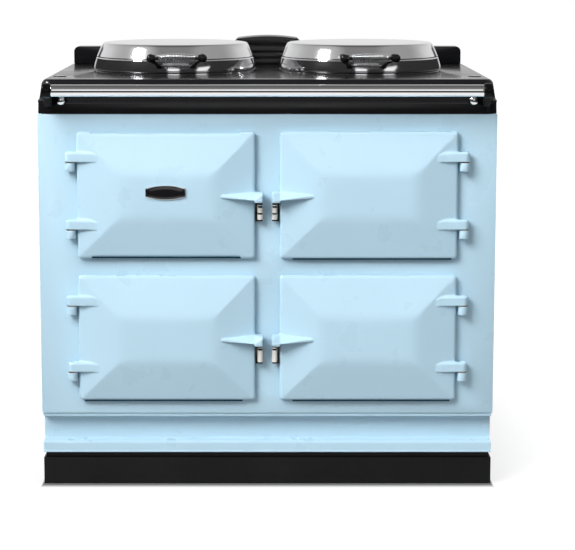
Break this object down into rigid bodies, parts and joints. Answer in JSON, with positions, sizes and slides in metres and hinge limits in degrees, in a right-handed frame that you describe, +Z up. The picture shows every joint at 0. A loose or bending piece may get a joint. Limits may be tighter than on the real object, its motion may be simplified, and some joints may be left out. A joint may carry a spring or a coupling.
{
  "type": "cast iron range cooker",
  "caption": "Enamelled cast iron range cooker with hinged doors, domed hotplate lids with coil handles, a chrome hand rail and a finned vent cap.",
  "frame": {"origin": "on the floor, under the middle of the body", "axes": "+X across the cooker to the right as the cook faces it, -Y towards the cook, +Z up"},
  "size_m": [0.9904, 0.7522, 0.96],
  "materials": {
    "blue_enamel": "gloss",
    "black_enamel": "gloss",
    "plinth_black": "satin",
    "vent_black": "satin",
    "base_steel": "satin",
    "back_steel": "matte",
    "chrome": "polished",
    "lid_metal": "polished",
    "panel_aluminium": "satin",
    "cast_iron": "matte",
    "element_steel": "satin",
    "shelf_chrome": "satin",
    "control_sheet": "satin",
    "knob_plastic": "gloss",
    "insulation": "matte",
    "washer_brass": "satin",
    "handle_black": "gloss",
    "badge_black": "gloss",
    "gland_plastic": "matte"
  },
  "bodies": {
    "root": {"plinth_boards": "plinth_black", "base_plate": "base_steel", "levelling_feet": "base_steel", "base_moulding": "blue_enamel", "front_plate": "blue_enamel", "side_panels": "blue_enamel", "back_panel": "back_steel", "cable_gland": "gland_plastic", "top_plate": "black_enamel", "rear_upstand": "black_enamel", "vent_cap": "vent_black", "hand_rail": "chrome", "rail_brackets": "black_enamel", "rail_bolts": "chrome", "top_plate_plugs": "black_enamel", "hotplates": "cast_iron", "hotplate_rings": "lid_metal", "hotplate_elements": "element_steel", "roasting_oven": "cast_iron", "baking_oven": "cast_iron", "simmering_oven": "cast_iron", "oven_elements": "element_steel", "oven_shelves": "shelf_chrome", "control_panel": "control_sheet", "insulation": "insulation", "hinge_lugs": "blue_enamel", "hinge_pins": "chrome", "hinge_washers": "washer_brass", "catch_brackets": "handle_black", "lid_hinge_bases": "black_enamel"},
    "door_control": {"control_door": "blue_enamel", "control_handle": "blue_enamel", "control_door_panel": "panel_aluminium", "badge": "badge_black"},
    "door_roasting": {"roasting_door": "blue_enamel", "roasting_handle": "blue_enamel", "roasting_door_panel": "panel_aluminium"},
    "door_baking": {"baking_door": "blue_enamel", "baking_handle": "blue_enamel", "baking_door_panel": "panel_aluminium"},
    "door_simmering": {"simmering_door": "blue_enamel", "simmering_handle": "blue_enamel", "simmering_door_panel": "panel_aluminium"},
    "cover_left": {"lid_left": "lid_metal", "lid_panel_left": "panel_aluminium", "lid_coil_left": "chrome", "lid_handle_left": "handle_black", "lid_arm_left": "chrome"},
    "cover_right": {"lid_right": "lid_metal", "lid_panel_right": "panel_aluminium", "lid_coil_right": "chrome", "lid_handle_right": "handle_black", "lid_arm_right": "chrome"},
    "roller_control": {"catch_roller_control": "chrome"},
    "roller_roasting": {"catch_roller_roasting": "chrome"},
    "roller_baking": {"catch_roller_baking": "chrome"},
    "roller_simmering": {"catch_roller_simmering": "chrome"},
    "knob_left": {"control_knob_left": "knob_plastic"},
    "knob_middle": {"control_knob_middle": "knob_plastic"},
    "knob_right": {"control_knob_right": "knob_plastic"}
  },
  "joints": [
    {"name": "control_door_hinge", "type": "hinge", "parent": "root", "child": "door_control", "pos_m": [-0.4235, -0.354, 0.6415], "axis": [0, 0, -1], "range_deg": [0, 110]},
    {"name": "roasting_door_hinge", "type": "hinge", "parent": "root", "child": "door_roasting", "pos_m": [0.4235, -0.354, 0.6415], "axis": [0, 0, 1], "range_deg": [0, 110]},
    {"name": "baking_door_hinge", "type": "hinge", "parent": "root", "child": "door_baking", "pos_m": [-0.4235, -0.354, 0.329], "axis": [0, 0, -1], "range_deg": [0, 110]},
    {"name": "simmering_door_hinge", "type": "hinge", "parent": "root", "child": "door_simmering", "pos_m": [0.4235, -0.354, 0.329], "axis": [0, 0, 1], "range_deg": [0, 110]},
    {"name": "left_lid_hinge", "type": "hinge", "parent": "root", "child": "cover_left", "pos_m": [-0.213, 0.214, 0.935], "axis": [-1, 0, 0], "range_deg": [0, 95]},
    {"name": "right_lid_hinge", "type": "hinge", "parent": "root", "child": "cover_right", "pos_m": [0.213, 0.214, 0.935], "axis": [-1, 0, 0], "range_deg": [0, 95]},
    {"name": "control_roller_spin", "type": "hinge", "parent": "root", "child": "roller_control", "pos_m": [-0.0155, -0.354, 0.6059], "axis": [0, 0, 1], "continuous": true},
    {"name": "roasting_roller_spin", "type": "hinge", "parent": "root", "child": "roller_roasting", "pos_m": [0.0155, -0.354, 0.6059], "axis": [0, 0, 1], "continuous": true},
    {"name": "baking_roller_spin", "type": "hinge", "parent": "root", "child": "roller_baking", "pos_m": [-0.0155, -0.354, 0.2934], "axis": [0, 0, 1], "continuous": true},
    {"name": "simmering_roller_spin", "type": "hinge", "parent": "root", "child": "roller_simmering", "pos_m": [0.0155, -0.354, 0.2934], "axis": [0, 0, 1], "continuous": true},
    {"name": "left_knob_turn", "type": "hinge", "parent": "root", "child": "knob_left", "pos_m": [-0.308, -0.278, 0.6415], "axis": [0, 1, 0], "range_deg": [0, 270]},
    {"name": "middle_knob_turn", "type": "hinge", "parent": "root", "child": "knob_middle", "pos_m": [-0.218, -0.278, 0.6415], "axis": [0, 1, 0], "range_deg": [0, 270]},
    {"name": "right_knob_turn", "type": "hinge", "parent": "root", "child": "knob_right", "pos_m": [-0.128, -0.278, 0.6415], "axis": [0, 1, 0], "range_deg": [0, 270]}
  ]
}
